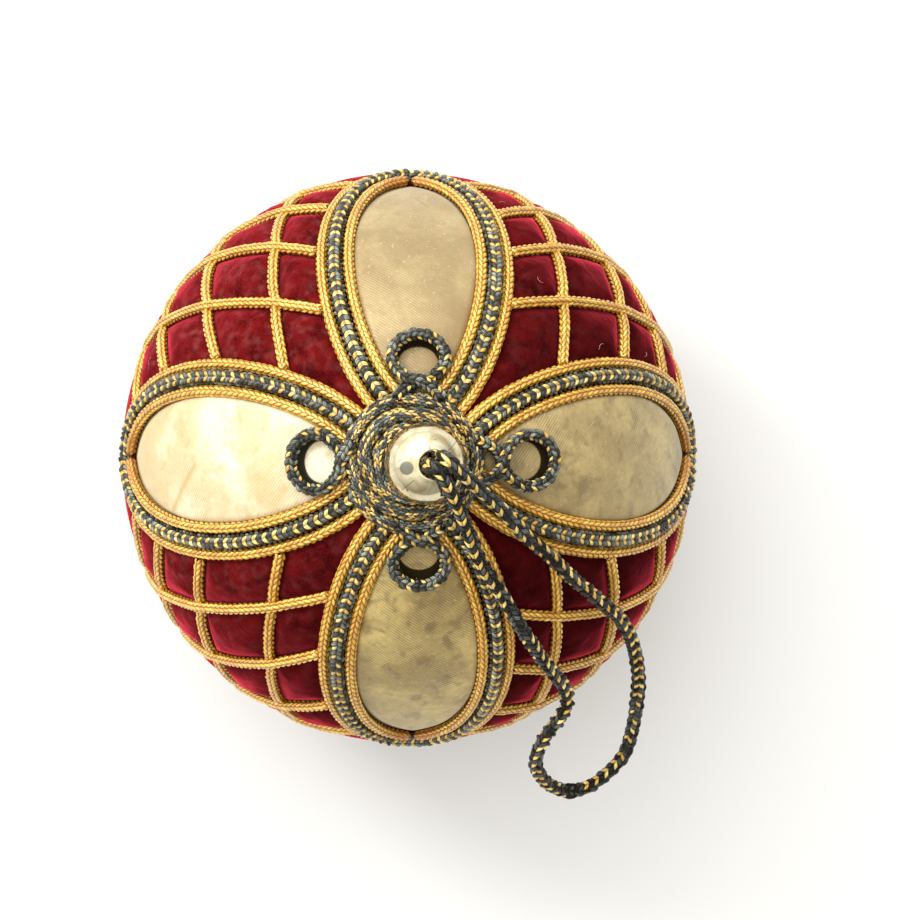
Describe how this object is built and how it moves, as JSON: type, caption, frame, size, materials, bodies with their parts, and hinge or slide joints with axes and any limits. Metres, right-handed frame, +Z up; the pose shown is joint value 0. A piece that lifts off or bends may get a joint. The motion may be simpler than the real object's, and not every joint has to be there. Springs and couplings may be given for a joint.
{
  "type": "corded velvet ball ornament",
  "caption": "Velvet-covered ball with satin petals edged in gold and grey cord, a lattice of gold cord, a wound boss under a metal bead, and a long hanging loop of braid.",
  "frame": {"origin": "under the ball's centre, on the surface that its flat spot rests on", "axes": "+Z up through the boss and the bead; +X along the east petal, +Y along the north petal"},
  "size_m": [0.0801, 0.0874, 0.0889],
  "materials": {
    "velvet": "crimson pile",
    "satin": "satin weave",
    "gold_cord": "braided, bright",
    "grey_braid": "braided, with gold flecks",
    "hanging_braid": "braided, with gold flecks",
    "bead_metal": "polished, scratched"
  },
  "bodies": {
    "root": {"velvet_ball": "velvet", "wound_boss": "grey_braid", "metal_bead": "bead_metal", "hanging_loop": "hanging_braid", "east_satin": "satin", "east_inner_gold": "gold_cord", "east_grey_braid": "grey_braid", "east_outer_gold": "gold_cord", "east_small_loop": "grey_braid", "east_festoon_1": "gold_cord", "east_festoon_2": "gold_cord", "east_festoon_3": "gold_cord", "east_festoon_4": "gold_cord", "north_satin": "satin", "north_inner_gold": "gold_cord", "north_grey_braid": "grey_braid", "north_outer_gold": "gold_cord", "north_small_loop": "grey_braid", "north_festoon_1": "gold_cord", "north_festoon_2": "gold_cord", "north_festoon_3": "gold_cord", "north_festoon_4": "gold_cord", "west_satin": "satin", "west_inner_gold": "gold_cord", "west_grey_braid": "grey_braid", "west_outer_gold": "gold_cord", "west_small_loop": "grey_braid", "west_festoon_1": "gold_cord", "west_festoon_2": "gold_cord", "west_festoon_3": "gold_cord", "west_festoon_4": "gold_cord", "south_satin": "satin", "south_inner_gold": "gold_cord", "south_grey_braid": "grey_braid", "south_outer_gold": "gold_cord", "south_small_loop": "grey_braid", "south_festoon_1": "gold_cord", "south_festoon_2": "gold_cord", "south_festoon_3": "gold_cord", "south_festoon_4": "gold_cord"}
  },
  "joints": []
}
